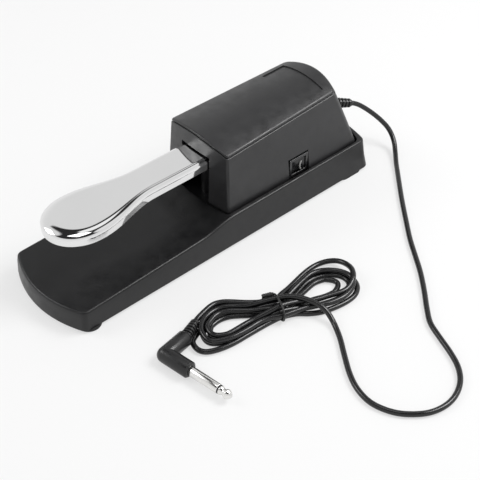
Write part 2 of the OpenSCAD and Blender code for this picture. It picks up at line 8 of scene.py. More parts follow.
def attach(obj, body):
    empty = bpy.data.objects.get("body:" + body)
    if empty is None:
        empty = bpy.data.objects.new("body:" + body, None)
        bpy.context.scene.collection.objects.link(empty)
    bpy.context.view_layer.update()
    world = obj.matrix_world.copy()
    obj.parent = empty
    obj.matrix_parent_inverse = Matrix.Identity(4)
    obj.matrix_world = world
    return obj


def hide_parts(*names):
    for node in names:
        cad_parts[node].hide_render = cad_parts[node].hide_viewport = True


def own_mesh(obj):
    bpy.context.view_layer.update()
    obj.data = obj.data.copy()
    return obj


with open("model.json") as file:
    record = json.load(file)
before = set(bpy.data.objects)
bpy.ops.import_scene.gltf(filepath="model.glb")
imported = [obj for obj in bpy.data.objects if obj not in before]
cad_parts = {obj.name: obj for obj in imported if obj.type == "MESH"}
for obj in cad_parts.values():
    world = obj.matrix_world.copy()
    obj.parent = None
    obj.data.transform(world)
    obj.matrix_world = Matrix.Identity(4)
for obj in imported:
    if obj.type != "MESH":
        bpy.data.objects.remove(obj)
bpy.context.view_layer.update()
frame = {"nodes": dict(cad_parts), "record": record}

S = bpy.context.scene
MM = 0.001

# ------------------------------------------------------------------ camera
cam_data = bpy.data.cameras.new("camera")
cam = bpy.data.objects.new("camera", cam_data)
S.collection.objects.link(cam)
cam_data.lens, cam_data.sensor_width = 83.1, 36
cam_data.clip_start, cam_data.clip_end = 0.02, 50
cam.location = Vector((450.5, -362.3, 499.8)) * MM
look = Vector((35.44, 5.69, 0.0)) * MM - cam.location
cam.rotation_mode = "QUATERNION"
cam.rotation_quaternion = look.to_track_quat("-Z", "Y")
S.camera = cam


# ------------------------------------------------------------------ helpers
def lerp(a, b, t):
    return a + (b - a) * t


def ease(t):
    c = min(1, max(0, t))
    return c * c * (3 - 2 * c)


def make(name, verts, faces, scale=MM):
    me = bpy.data.meshes.new(name)
    me.from_pydata([tuple(c * scale for c in v) for v in verts], [], faces)
    me.update()
    o = bpy.data.objects.new(name, me)
    S.collection.objects.link(o)
    return o


def tidy(o, angle=32.0, weighted=True):
    """Merges doubles, fixes normals, and shades smooth with sharp edges by angle."""
    bm = bmesh.new()
    bm.from_mesh(o.data)
    bmesh.ops.remove_doubles(bm, verts=bm.verts, dist=2e-6)
    bmesh.ops.dissolve_degenerate(bm, edges=bm.edges, dist=1e-6)
    bmesh.ops.recalc_face_normals(bm, faces=bm.faces)
    bm.to_mesh(o.data)
    bm.free()
    o.data.shade_smooth()
    o.data.set_sharp_from_angle(angle=math.radians(angle))
    if weighted:
        m = o.modifiers.new("normals", "WEIGHTED_NORMAL")
        m.keep_sharp, m.weight = True, 60
    return o


def settle(o):
    dg = bpy.context.evaluated_depsgraph_get()
    me = bpy.data.meshes.new_from_object(o.evaluated_get(dg))
    o.modifiers.clear()
    o.data = me
    return o


def join(name, parts):
    """One mesh object from several, which are removed."""
    verts, faces = [], []
    for p in parts:
        n = len(verts)
        verts += [tuple(v.co) for v in p.data.vertices]
        faces += [[n + i for i in f.vertices] for f in p.data.polygons]
        bpy.data.objects.remove(p)
    return make(name, verts, faces, 1.0)


def cut(o, tool, op="DIFFERENCE"):
    m = o.modifiers.new("b", "BOOLEAN")
    m.operation, m.object, m.solver = op, tool, "EXACT"
    bpy.context.view_layer.update()
    settle(o)
    bpy.data.objects.remove(tool)
    return o


def rings_mesh(name, rings, close=False, cap=True):
    """Quads between rings of equal length; flat caps at both ends."""
    n, verts, faces = len(rings[0]), [p for r in rings for p in r], []
    R = len(rings)
    for r in range(R if close else R - 1):
        a0, b0 = r * n, ((r + 1) % R) * n
        for i in range(n):
            j = (i + 1) % n
            faces.append([a0 + i, a0 + j, b0 + j, b0 + i])
    if cap and not close:
        faces.append(list(range(n))[::-1])
        faces.append([(R - 1) * n + i for i in range(n)])
    return make(name, verts, faces)


def cyl(name, x, y, z0, z1, r, n=48):
    return rings_mesh(name, [[(x + r * math.cos(2 * math.pi * i / n), y + r * math.sin(2 * math.pi * i / n), z) for i in range(n)] for z in (z0, z1)])


def block(name, lo, hi):
    (a, b, c), (d, e, f) = lo, hi
    return rings_mesh(name, [[(a, b, z), (d, b, z), (d, e, z), (a, e, z)] for z in (c, f)])


def lathe(name, profile, place, n=64):
    """Profile of (along, radius) turned round the local Z of place; ends on the axis close it."""
    verts, faces, idx = [], [], []
    for z, r in profile:
        if r < 1e-6:
            idx.append([len(verts)])
            verts.append(place @ Vector((0, 0, z)))
        else:
            idx.append(list(range(len(verts), len(verts) + n)))
            verts += [place @ Vector((r * math.cos(2 * math.pi * i / n), r * math.sin(2 * math.pi * i / n), z)) for i in range(n)]
    for a, b in zip(idx, idx[1:]):
        for i in range(n):
            j = (i + 1) % n
            if len(a) == 1 and len(b) == 1:
                continue
            if len(a) == 1:
                faces.append([a[0], b[j], b[i]])
            elif len(b) == 1:
                faces.append([a[i], a[j], b[0]])
            else:
                faces.append([a[i], a[j], b[j], b[i]])
    return make(name, verts, faces)


def frame_at(point, direction):
    return Matrix.Translation(Vector(point)) @ Vector(direction).to_track_quat("Z", "Y").to_matrix().to_4x4()


def half_oblong(wf, wr, yf, sf, rf, yr, sr, rr, ys, n1=14, nc=9):
    af = math.atan(2 * sf * (wf - rf) / wf ** 2)
    xf = wf - rf + rf * math.sin(af)
    cf = yf + sf * (xf / wf) ** 2 + rf * math.cos(af)
    ar = math.atan(2 * sr * (wr - rr) / wr ** 2)
    xr = wr - rr + rr * math.sin(ar)
    cr = yr - sr * (xr / wr) ** 2 - rr * math.cos(ar)
    p = [(xf * i / n1, yf + sf * (xf * i / n1 / wf) ** 2) for i in range(n1 + 1)]
    for i in range(1, nc + 1):
        a = lerp(af - math.pi / 2, 0, i / nc)
        p.append((wf - rf + rf * math.cos(a), cf + rf * math.sin(a)))
    p += [(lerp(wf, wr, (y - cf) / (cr - cf)), y) for y in ys]
    for i in range(nc + 1):
        a = lerp(0, math.pi / 2 - ar, i / nc)
        p.append((wr - rr + rr * math.cos(a), cr + rr * math.sin(a)))
    p += [(xr * i / n1, yr - sr * (xr * i / n1 / wr) ** 2) for i in range(n1 - 1, -1, -1)]
    return p


def mirrored(h):
    return list(h) + [(-x, y) for x, y in h[-2:0:-1]]


def skin(name, rings, m=1):
    """A closed skin through stacked rings of [half outline, height function], capped by strips across X."""
    h = rings[0][0]
    n = len(h) - 1
    N, R = 2 * n, len(rings)
    verts = []
    for half, f in rings:
        for x, y in mirrored(half):
            verts.append((x, y, f(x, y)))
    last, f = rings[-1]
    for i in range(1, n):
        x0, y0 = last[i]
        for j in range(1, m):
            x = x0 * (1 - 2 * j / m)
            verts.append((x, y0, f(x, y0)))
    top = (R - 1) * N

    def at(i, j):
        if i == 0:
            return top
        if i == n:
            return top + n
        if j == 0:
            return top + i
        if j == m:
            return top + N - i
        return R * N + (i - 1) * (m - 1) + j - 1

    faces = [list(range(N))[::-1]]
    for r in range(R - 1):
        for i in range(N):
            a, b = r * N + i, r * N + (i + 1) % N
            faces.append([a, b, b + N, a + N])
    for i in range(n):
        for j in range(m):
            if i == 0:
                faces.append([at(0, 0), at(1, j), at(1, j + 1)])
            elif i == n - 1:
                faces.append([at(i, j), at(n, 0), at(i, j + 1)])
            else:
                faces.append([at(i, j), at(i + 1, j), at(i + 1, j + 1), at(i, j + 1)])
    return make(name, verts, faces)


def smooth_line(p, m):
    """Catmull-Rom points through p, m to each interval."""
    out, n = [], len(p)
    for i in range(n - 1):
        a, b, c, d = (Vector(p[max(0, i - 1)]), Vector(p[i]), Vector(p[i + 1]), Vector(p[min(n - 1, i + 2)]))
        for k in range(m):
            t = k / m
            out.append(0.5 * (2 * b + (c - a) * t + (2 * a - 5 * b + 4 * c - d) * t * t + (3 * b - a - 3 * c + d) * t ** 3))
    out.append(Vector(p[-1]))
    return out


def tube_curve(name, pts, radius, res=6):
    cu = bpy.data.curves.new(name, "CURVE")
    cu.dimensions, cu.bevel_depth, cu.bevel_resolution, cu.use_fill_caps = "3D", 1.0, res, True
    sp = cu.splines.new("POLY")
    sp.points.add(len(pts) - 1)
    for q, p in zip(sp.points, pts):
        q.co, q.radius = (p[0] * MM, p[1] * MM, p[2] * MM, 1), radius * MM
    sp.use_smooth = True
    o = bpy.data.objects.new(name, cu)
    S.collection.objects.link(o)
    return o


# ------------------------------------------------------------------ the lead
EXIT_DIR = Vector((0.398, 0.894, -0.208))
EXIT_AT = Vector((0, 120.7, 40))
STRAIN = 19.5
ROUTE = [
    (10.5, 144, 32.8), (15.5, 150.5, 26.8), (21.5, 156, 20), (28, 159, 13.5), (35, 157.5, 7.6), (42, 152, 4),
    (50, 144.5, 2.3), (60, 135.5, 1.9), (80, 117.5, 1.9), (97, 103, 1.9), (112, 90.5, 1.9), (125, 81, 1.9),
    (138, 71.5, 1.9), (151, 60.5, 1.9), (163, 49.5, 1.9), (173, 41.5, 1.9), (185, 36.5, 1.9), (197, 32, 1.9),
    (207, 27, 1.9), (214.5, 20.5, 1.9), (219.5, 12.5, 1.9), (222, 3.5, 1.9), (221.5, -6, 1.9), (218, -15, 1.9),
    (210.5, -24, 1.9), (202, -29.5, 1.9), (191.5, -32.3, 1.9), (180, -30.7, 1.9), (169, -25.8, 1.9), (156, -17.3, 1.9),
    (145.5, -10, 1.9), (136, -4.8, 2.4), (130, -3, 4.4)]

# outermost line of the tied hank, counter-clockwise from the tie down its left side
OUT = [(96.5, -19.5), (91, -28.5), (85.7, -34.7), (79.8, -40.5), (75.5, -45.8), (73.6, -52.5), (74.8, -60), (78.3, -67.5), (82.5, -74),
       (87.5, -78.6), (94, -80.6), (99.3, -78), (102.6, -70), (104.4, -60.4), (105.4, -49.2), (106, -38.5), (107.4, -31),
       (109.9, -24.9), (113.2, -16), (117.2, -9), (121, -2), (124, 7), (125.6, 16.5), (124.4, 24.5), (120.3, 30.6),
       (114.2, 33.8), (107.2, 33.2), (100.2, 29.3), (95, 22.6), (92.7, 15), (93, 8), (94.3, 1), (96, -6), (97, -13)]
# innermost line, station by station, and how far in from the outer line it counts as
INN = [(103.2, -22.2), (98.4, -30.2), (94.6, -37.6), (90, -42.8), (86, -48), (84, -54.4), (84.8, -60.6), (86.8, -65.8), (89.4, -69.2),
       (92, -70.8), (94.4, -70.4), (95.6, -68.2), (96.4, -63.8), (97.2, -57), (98.2, -48), (99.2, -40.2), (101.6, -32.2),
       (104.9, -22.9), (106.8, -12), (108.6, -4), (110.6, 2.5), (112.6, 9), (114, 15.5), (114.2, 20.8), (112.8, 24.8),
       (110.2, 26.8), (106, 25.8), (103.4, 22.8), (101.4, 18.6), (100, 13), (100.2, 7), (101.4, 0.5), (102.8, -6.8), (103.4, -14.6)]
NOM = {0: 7.2, 3: 9.4, 5: 10.2, 7: 12.1, 9: 9.0, 11: 7.8, 13: 7.4, 15: 7.3, 17: 5.4, 19: 7.6, 21: 10, 23: 8.6, 25: 7.6, 27: 7.4, 29: 7.3, 31: 7.3, 34: 7.2}
SLOT = {  # station: (offset inwards, height)
    "s0": {3: (4.0, 5.1), 5: (4.2, 5.1), 7: (4.9, 5.4), 9: (7.0, 5.0), 11: (4.5, 5.0), 13: (1.9, 5.0), 15: (1.9, 5.0), 17: (0, 5.5),
           19: (1.9, 5.1), 21: (2.3, 4.9), 23: (2.2, 5.0), 25: (2.0, 5.0), 27: (2.0, 5.0), 29: (1.9, 5.0), 31: (1.9, 4.8)},
    "b0": {3: (2.0, 1.9), 5: (2.4, 1.9), 7: (4.9, 1.9), 9: (0, 1.9), 11: (0, 1.9), 13: (0, 1.9), 15: (0, 1.9), 17: (1.8, 2.4),
           19: (0, 1.9), 21: (0, 1.9), 23: (0, 1.9), 25: (0, 1.9), 27: (0, 1.9), 29: (0, 1.9), 31: (0.3, 2.0)},
    "b1": {3: (5.8, 1.9), 5: (6.2, 1.9), 7: (8.5, 1.9), 9: (5.4, 1.9), 11: (4.1, 1.9), 13: (3.7, 1.9), 15: (3.7, 2.4), 17: (3.6, 5.5),
           19: (3.9, 2.4), 21: (4.6, 1.9), 23: (4.2, 1.9), 25: (3.8, 1.9), 27: (3.7, 1.9), 29: (3.7, 1.9), 31: (3.8, 1.9)},
    "b2": {3: (9.4, 1.9), 5: (10.2, 1.9), 7: (12.1, 1.9), 9: (9.0, 1.9), 11: (7.8, 1.9), 13: (7.4, 1.9), 15: (7.3, 1.9), 17: (5.4, 2.4),
           19: (7.6, 1.9), 21: (10, 1.9), 23: (8.6, 1.9), 25: (7.6, 1.9), 27: (7.4, 1.9), 29: (7.3, 1.9), 31: (7.3, 2.4)},
    "s1": {3: (7.6, 5.1), 5: (8.3, 5.1), 7: (10.3, 5.1), 9: (10.8, 4.6), 11: (7.0, 5.0), 13: (5.6, 5.0), 15: (5.5, 5.6), 17: (5.4, 8.6),
           18: (5.6, 7.2), 19: (5.9, 5.5), 20: (6.6, 5.0), 21: (7.2, 4.9)}}
LOOSE = [(119.2, 18.2, 5.0), (119.0, 24.6, 5.4), (116.0, 31.2, 6.6), (110.6, 35.8, 6.9), (103.8, 37.9, 5.6), (97.2, 37.2, 4.2),
         (91.9, 33.2, 3.0), (89.0, 27.0, 2.2), (88.3, 20, 1.9), (89.2, 12, 1.9), (90.8, 4, 1.9), (92.6, -3.5, 2.5), (94.6, -11.5, 4.2)]
WAIST = [(1.8, 8.6), (1.8, 2.4), (3.6, 5.5), (5.4, 2.4), (7.2, 5.5), (0, 5.5)]
CROSS = [(125.6, -2.9, 6.9), (120.6, -3.9, 8.8), (114.6, -5.8, 9.2), (108.3, -8.8, 9.3), (102.9, -13.0, 9.1)]


def hank_point(i, d, z):
    i %= len(OUT)
    lo = max(x for x in NOM if x <= i)
    hi = min(x for x in NOM if x > i)
    f = d / lerp(NOM[lo], NOM[hi], ease((i - lo) / (hi - lo)))
    return (lerp(OUT[i][0], INN[i][0], f), lerp(OUT[i][1], INN[i][1], f), z)


def hank_points():
    order, n, pts = ["s0", "b0", "b1", "b2", "s1"], len(OUT), []
    for k, name in enumerate(order):
        keys = {0: WAIST[k], **SLOT[name]}
        if name != "s1":
            keys[n] = WAIST[k + 1]
        ks = sorted(keys)
        for i in range(0, n if name != "s1" else 22):
            lo = max(x for x in ks if x <= i)
            hi = min([x for x in ks if x > i] or [lo])
            t = 0 if hi == lo else ease((i - lo) / (hi - lo))
            wob = 0.25 * math.sin(1.7 * i + 2.1 * k)
            pts.append(hank_point(i, lerp(keys[lo][0], keys[hi][0], t) + (wob if i % n not in (0, 17) else 0), lerp(keys[lo][1], keys[hi][1], t)))
        if name == "s1":
            pts += LOOSE
    d5 = [(0, *WAIST[5]), (1, 0.2, 5.4), (2, 0.1, 5.2), (3, 0, 5.1), (4, 0, 5.1), (5, 0.2, 5.2)]
    pts += [hank_point(i, d, z) for i, d, z in d5]
    return pts


def eased_bends(pts, least=6.0, step=1.5, reach=3, hold=14):
    """Opens every bend tighter than the least radius; the ends stay where they are."""
    line, left = [pts[0].copy()], 0.0
    for a, b in zip(pts, pts[1:]):
        d = (b - a).length
        at = step - left
        while at <= d:
            line.append(a.lerp(b, at / d))
            at += step
        left = d - (at - step)
    line.append(pts[-1].copy())
    n = len(line)
    for turn in range(40):
        tight = set()
        for i in range(hold + reach, n - hold - reach):
            a, b, c = line[i - reach], line[i], line[i + reach]
            r = (b - a).length * (c - b).length * (c - a).length / max(2 * (b - a).cross(c - a).length, 1e-9)
            if r < least:
                tight.update(range(i - 5, i + 6))
        if not tight:
            break
        line = [p if i not in tight or i < hold or i >= n - hold else p * 0.5 + (line[i - 1] + line[i + 1]) * 0.25 for i, p in enumerate(line)]
    return line


BOOT_END, BOOT_DIR = Vector((77.84, -68.13, 5.3)), Vector((-0.4226, 0.9063, 0))
lead_keys = [tuple(EXIT_AT + 4 * EXIT_DIR), tuple(EXIT_AT + 12 * EXIT_DIR), tuple(EXIT_AT + STRAIN * EXIT_DIR)] + ROUTE + CROSS + hank_points()
lead_keys += [tuple(BOOT_END + 3.2 * BOOT_DIR), tuple(BOOT_END - 2 * BOOT_DIR)]
lead_line = eased_bends(smooth_line(lead_keys, 5))
for p in lead_line:
    p.z = max(p.z, 1.85)
lead = tube_curve("lead", lead_line, 1.8, 7)

# ------------------------------------------------------------------ base
FOOT, WALL, DECK, RIM, FLOOR = 2.0, 2.5, 16.6, 25.2, 21.4
PLATE_TOP = 3.6
BASE_YS = [y for y in range(-112, -40, 8)] + [y for y in range(-40, 12, 2)] + [y for y in range(16, 116, 10)]


def base_half(z, inset):
    t = (z - FOOT) / 18
    return half_oblong(38 - 0.7 * t - inset, 38 - 2.7 * t - inset, -132.5 + t + inset, 9.6, max(1, 4.5 - inset / 2),
                       132.5 - 2.7 * t - inset, 5, max(1.5, 5.5 - inset / 2), BASE_YS)


def deck(y):
    return lerp(DECK + 0.04 * (y + 120), RIM, ease((y + 27) / 29))


def fillet(outline, top, r, steps=6, start=0):
    out = []
    for i in range(start, steps + 1):
        a = math.pi / 2 * i / steps
        inset, drop = r * (1 - math.cos(a)), r * (1 - math.sin(a))
        out.append([outline(inset), (lambda x, y, drop=drop: top(x, y) - drop)])
    return out


COVER_YS = [y for y in range(10, 100, 7)]
SEAM = 25.0


def cover_half(z, inset):
    t = max(0, (z - SEAM) / (68.3 - SEAM))
    return half_oblong(lerp(31.6, 28.5, t) - inset, lerp(31.6, 24.8, t) - inset,
                       lerp(-3.8, -1.9, t) + inset, 2.9, max(0.8, 2 - inset / 2),
                       lerp(126.8, 105.9, t) - inset, lerp(7.9, 4.4, t), max(1.2, 4.4 - inset / 2), COVER_YS)


def cover_top(x, y, inset=0.0):
    t = (y + 2) / 104
    w = lerp(28.5, 24.8, t) - inset
    return lerp(68.3, 71.5, t) - inset + 5.2 * (1 - min(1, abs(x) / w) ** 2)


base = skin("base_shell", [
    [base_half(FOOT, 0.35), lambda x, y: FOOT],
    [base_half(FOOT, 0.1), lambda x, y: FOOT + 0.12],
    [base_half(FOOT, 0), lambda x, y: FOOT + 0.4],
    [base_half(12, 0), lambda x, y: min(12, deck(y) - 4)]]
    + fillet(lambda i: base_half(20, i), lambda x, y: deck(y), 1.5), 6)
inner = skin("inner", [
    [base_half(FOOT, WALL), lambda x, y: FOOT - 1],
    [base_half(20, WALL), lambda x, y: min(deck(y), FLOOR) - 2.6]])
pocket_rings = [[cover_half(FLOOR, -1.1), lambda x, y: FLOOR]]
for i in range(0, 6):
    a = math.pi / 2 * i / 5
    pocket_rings.append([cover_half(FLOOR, -1.1 - 0.5 * (1 - math.cos(a))), (lambda x, y, d=0.5 * (1 - math.sin(a)): deck(y) - d + 0.02)])
pocket_rings.append([cover_half(FLOOR, -1.6), lambda x, y: deck(y) + 6])
pocket = skin("pocket", pocket_rings)
cut(base, join("tools", [inner, pocket]))

housing_spots = [(s * 24.5, y) for s in (-1, 1) for y in (12, 100)]
plate_spots = [(s * x, y) for s in (-1, 1) for x, y in ((24, -100), (24, -42), (14, 118))]
bracket_spots = [(s * 9, y) for s in (-1, 1) for y in (66.5, 89)]
board_spots = [(-8.5, 44), (8.5, 58)]
adds = [cyl("a", x, y, PLATE_TOP, min(deck(y), FLOOR) - 1, 3.6) for x, y in plate_spots]
adds += [cyl("a", x, y, PLATE_TOP, FLOOR - 1, 5) for x, y in housing_spots]
adds += [cyl("a", x, y, 8, FLOOR - 1, 3.6) for x, y in bracket_spots]
adds += [cyl("a", x, y, FLOOR - 1, FLOOR + 4.6, 3) for x, y in board_spots]
adds += [cyl("a", 0, 10, FLOOR - 1, FLOOR + 25, 6, 64)]
adds += [block("a", (-34.6, y, 8), (34.6, y + 2, min(deck(y), FLOOR) - 1.5)) for y in (-72, -12, 40)]
cut(base, join("tools", adds), "UNION")
holes = [cyl("h", x, y, PLATE_TOP - 1, PLATE_TOP + 8, 1.3, 24) for x, y in plate_spots]
for x, y in housing_spots:
    holes.append(lathe("h", [(PLATE_TOP - 1, 0), (PLATE_TOP - 1, 3.6), (PLATE_TOP + 10.4, 3.6), (PLATE_TOP + 10.4, 1.75), (34, 1.75), (34, 0)], Matrix.Translation((x, y, 0)), 32))
holes += [cyl("h", x, y, 9.5, 30, 1.6, 24) for x, y in bracket_spots]
holes += [cyl("h", x, y, 20, 30, 1.15, 24) for x, y in board_spots]
cut(base, join("tools", holes))
tidy(base)
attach(base, "base"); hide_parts("base_tray")

# ------------------------------------------------------------------ housing
profile = [(0.0, 2.75), (0.05, 2.5), (0.22, 2.3), (0.5, 2.22), (1.15, 2.2), (1.2, 2.0), (1.15, 1.3), (0.5, 1.2), (0.26, 1.08),
           (0.22, 0.84), (0.36, 0.52), (0.62, 0.26), (0.98, 0.09), (1.45, 0.0)]
cover = skin("housing_shell",
             [[cover_half(FLOOR, 0), lambda x, y: FLOOR], [cover_half(SEAM, 0), lambda x, y: SEAM]]
             + [[cover_half(68.3 - d, i), (lambda x, y, d=d: cover_top(x, y) - d)] for i, d in profile], 16)
inside = skin("inside", [
    [cover_half(FLOOR, WALL), lambda x, y: FLOOR - 1],
    [cover_half(68.3 - WALL, WALL), lambda x, y: cover_top(x, y, WALL)]], 12)
cut(cover, inside)
adds = [cyl("a", x, y, FLOOR, FLOOR + 16, 4) for x, y in housing_spots]
cut(cover, join("tools", adds), "UNION")
adds = [block("a", (x if x > 0 else x - 5, y - 1, FLOOR + 0.4), (x + 5 if x > 0 else x, y + 1, FLOOR + 14)) for x, y in housing_spots]
cut(cover, join("tools", adds), "UNION")


def rounded_rect(x0, y0, x1, y1, r, n=6, square_low=False):
    pts = []
    for cx, cy, a0 in ((x1 - r, y0 + r, -90), (x1 - r, y1 - r, 0), (x0 + r, y1 - r, 90), (x0 + r, y0 + r, 180)):
        if square_low and cy < (y0 + y1) / 2:
            pts.append((x1 if cx > (x0 + x1) / 2 else x0, y0))
            continue
        for i in range(n + 1):
            a = math.radians(a0 + 90 * i / n)
            pts.append((cx + r * math.cos(a), cy + r * math.sin(a)))
    return pts


slot = rounded_rect(-13.9, FLOOR - 1, 13.9, 60.6, 0.8, 5, True)
tools = [rings_mesh("t", [[(x, y, z) for x, z in slot] for y in (2.0, -12.0)]),
         block("t", (26, 54.1, FLOOR - 1), (35.5, 72.9, 39.3)),
         lathe("t", [(-6, 0), (-6, 3.8), (6, 3.8), (6, 0)], frame_at(EXIT_AT, EXIT_DIR), 48)]
cut(cover, join("tools", tools))
tools = [cyl("h", x, y, FLOOR - 1, FLOOR + 14, 1.45, 24) for x, y in housing_spots]
cut(cover, join("tools", tools))
# the shallow panel sunk in the top
rect = rounded_rect(-20, 75, 19.5, 95, 1.0, 4)
n_across = 14


def panel_tool():
    """A prism with a floor that follows the crown 0.75 below it."""
    xs = [lerp(-20, 19.5, i / n_across) for i in range(n_across + 1)]
    rows = [75, 80, 85, 90, 95]
    verts, faces = [], []
    for y in rows:
        for x in xs:
            verts.append((x, y, cover_top(x, y) - 0.8))
    base_n = len(verts)
    for y in rows:
        for x in xs:
            verts.append((x, y, cover_top(x, y) + 2))
    W = n_across + 1
    for s, o in ((1, 0), (-1, base_n)):
        for i in range(len(rows) - 1):
            for j in range(n_across):
                f = [o + i * W + j, o + (i + 1) * W + j, o + (i + 1) * W + j + 1, o + i * W + j + 1]
                faces.append(f if s > 0 else f[::-1])
    edge = [j for j in range(W)] + [i * W + n_across for i in range(1, len(rows))] + [(len(rows) - 1) * W + j for j in range(n_across - 1, -1, -1)] + [i * W for i in range(len(rows) - 2, 0, -1)]
    for a, b in zip(edge, edge[1:] + edge[:1]):
        faces.append([a, b, b + base_n, a + base_n])
    o = make("t", verts, faces)
    bm = bmesh.new(); bm.from_mesh(o.data); bmesh.ops.recalc_face_normals(bm, faces=bm.faces); bm.to_mesh(o.data); bm.free()
    return o


cut(cover, panel_tool())
tidy(cover, 34)
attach(cover, "base"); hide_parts("housing_cover")

# ------------------------------------------------------------------ lever
LZ, SKIRT, LT, SW, TW, TY, WY, SY = 59.2, 8.0, 1.6, 13.0, 22.2, -119.4, -92.2, -45.3


def lever_half(inset, fr=0.0, rear=0.0, ex=0.0):
    a, b = TW - inset - ex, WY - TY - inset - fr
    p = []
    for i in range(41):
        t = math.pi / 2 * i / 40
        p.append((a * math.sin(t), WY - b * max(0.0, math.cos(t)) ** 0.909))
    for i in range(1, 29):
        t = i / 28
        p.append((lerp(a, SW - inset, (1 - math.cos(math.pi * t)) / 2), lerp(WY, SY, t)))
    p += [(SW - inset, y) for y in (-38, -30, -20, -10, 0, 10, 20, 30, 40, 50, 60, 70, 80, 88, 93)]
    p += [(SW - inset, 97.4 - rear), (0, 98 - rear)]
    return p


low = LZ - SKIRT
rings = [[lever_half(0.25, 0, 0.25), lambda x, y: low], [lever_half(0.06, 0, 0.06), lambda x, y: low + 0.1], [lever_half(0), lambda x, y: low + 0.35]]
for i in range(0, 17):
    a = math.pi / 2 * i / 16
    u = 1 - math.cos(a)
    rings.append([lever_half(4 * u, 4.8 * u, 1.6 * u, 3 * u), (lambda x, y, d=3.8 * (1 - math.sin(a)): LZ - d)])
lever = skin("lever_shell", rings, 2)
rings = [[lever_half(LT, 0, LT), lambda x, y: low - 1]]
for i in range(0, 7):
    a = math.pi / 2 * i / 6
    u = 1 - math.cos(a)
    rings.append([lever_half(LT + 2.2 * u, 4.6 * u, LT, 3 * u), (lambda x, y, d=2.2 * (1 - math.sin(a)): LZ - LT - d)])
cut(lever, skin("t", rings, 2))
tools = []
for x0 in (-13.05, 11.3):
    prof = [(-12.3, low - 53 + 0.4), (-5.6, -3.4)]
    prof = [(-11.7, 2.3), (-12.3, -1.4)] + [(7 * math.cos(math.radians(a)), 7 * math.sin(math.radians(a))) for a in range(210, 331, 6)] + [(12.3, -1.4), (11.7, 2.3)]
    tools.append(rings_mesh("t", [[(x, 78 + u, 53 + v) for u, v in prof] for x in (x0, x0 + 1.75)]))
for t in tools:
    bm = bmesh.new(); bm.from_mesh(t.data); bmesh.ops.recalc_face_normals(bm, faces=bm.faces); bm.to_mesh(t.data); bm.free()
cut(lever, join("tools", tools), "UNION")
cut(lever, lathe("t", [(-20, 0), (-20, 3.06), (20, 3.06), (20, 0)], frame_at((0, 78, 53), (1, 0, 0)), 64))
tidy(lever, 30)
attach(lever, "pedal"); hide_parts("pedal_lever")

# ------------------------------------------------------------------ strain relief, boot and tie
prof = [(-6, 0), (-6, 5.6), (-5.7, 6), (-4.3, 6), (-4, 5.7), (-4, 3.75), (0.4, 3.75), (0.5, 4.1), (0.8, 4.35), (2.2, 4.35), (2.5, 4.1)]
z, r = 2.5, 4.1
for i in range(6):
    g, r1 = 3.15 - 0.1 * i, 4.15 - 0.17 * i
    prof += [(z + 0.05, g), (z + 0.85, g - 0.03), (z + 0.9, r1 - 0.3), (z + 1.15, r1), (z + 2.3, r1 - 0.05), (z + 2.55, r1 - 0.3)]
    z += 2.6
prof += [(z + 0.05, 2.7), (STRAIN - 0.4, 2.5), (STRAIN, 2.2), (STRAIN, 0)]
relief = tidy(lathe("strain_relief_ribbed", prof, frame_at(EXIT_AT, EXIT_DIR), 48), 40)
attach(relief, "base"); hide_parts("strain_relief")

prof = [(0, 0), (0, 4.1), (1.6, 4.0)]
z = 1.6
for i in range(5):
    g, r1 = 2.9 - 0.1 * i, 4.0 - 0.24 * i
    prof += [(z + 0.06, g), (z + 0.8, g), (z + 0.88, r1 - 0.3), (z + 1.15, r1), (z + 2.1, r1 - 0.05), (z + 2.4, r1 - 0.35)]
    z += 2.45
prof += [(z + 0.05, 2.4), (14.7, 2.3), (15, 2.1), (15, 0)]
boot_start = BOOT_END - 15 * BOOT_DIR
boot = tidy(lathe("plug_boot_ribbed", prof, frame_at(boot_start, BOOT_DIR), 48), 40)
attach(boot, "base"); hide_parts("plug_boot")

# twisted tie: a loop round the bundle, then its two ends wound together
WC, AX, AY = Vector((103.2, -22.2, 0)), Vector((0.927, -0.375, 0)), Vector((0.375, 0.927, 0))
tie_pts = []
for i in range(0, 41):
    a = math.radians(150 - 360 * i / 40)
    c, s = math.cos(a), math.sin(a)
    u = 10.0 * math.copysign(abs(c) ** 0.72, c)
    v = 5.9 + 5.15 * math.copysign(abs(s) ** 0.8, s)
    tie_pts.append(WC + AX * u + AY * (0.5 * math.sin(a)) + Vector((0, 0, v)))
knot_at = tie_pts[0] + Vector((0, 0, 0.3))
knot_dir = Vector((-0.62, -0.70, -0.34)).normalized()
side = knot_dir.cross(Vector((0, 0, 1))).normalized()
up = side.cross(knot_dir)


def twist(phase, n=30):
    out = []
    for i in range(n + 1):
        t = i / n
        a = phase + 2 * math.pi * 2.6 * t
        r = 1.0 if i > 2 else 0.5
        out.append(knot_at + knot_dir * (0.6 + 7.0 * t) + side * (r * math.cos(a)) + up * (r * math.sin(a)))
    return out


def tube_mesh(name, pts, radius, n=14):
    rings, e = [], None
    for i, p in enumerate(pts):
        t = (pts[min(len(pts) - 1, i + 1)] - pts[max(0, i - 1)]).normalized()
        if e is None:
            e = t.cross(Vector((0, 0, 1)) if abs(t.z) < 0.9 else Vector((1, 0, 0))).normalized()
        e = (e - t * e.dot(t)).normalized()
        f = t.cross(e)
        rings.append([tuple(p + e * (radius * math.cos(2 * math.pi * k / n)) + f * (radius * math.sin(2 * math.pi * k / n))) for k in range(n)])
    return rings_mesh(name, rings)


loop_smooth = smooth_line(tie_pts, 3)
tie = join("twist_tie", [tube_mesh("t", loop_smooth, 0.72), tube_mesh("t", twist(0), 0.75), tube_mesh("t", twist(math.pi), 0.75)])
tidy(tie, 50, False)
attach(tie, "base"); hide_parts("cable_tie")

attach(lead, "base"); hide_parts("cable", "cable_hank")
N = frame["nodes"]

# ------------------------------------------------------------------ polarity switch
RX, RY = 25.2, 64.2


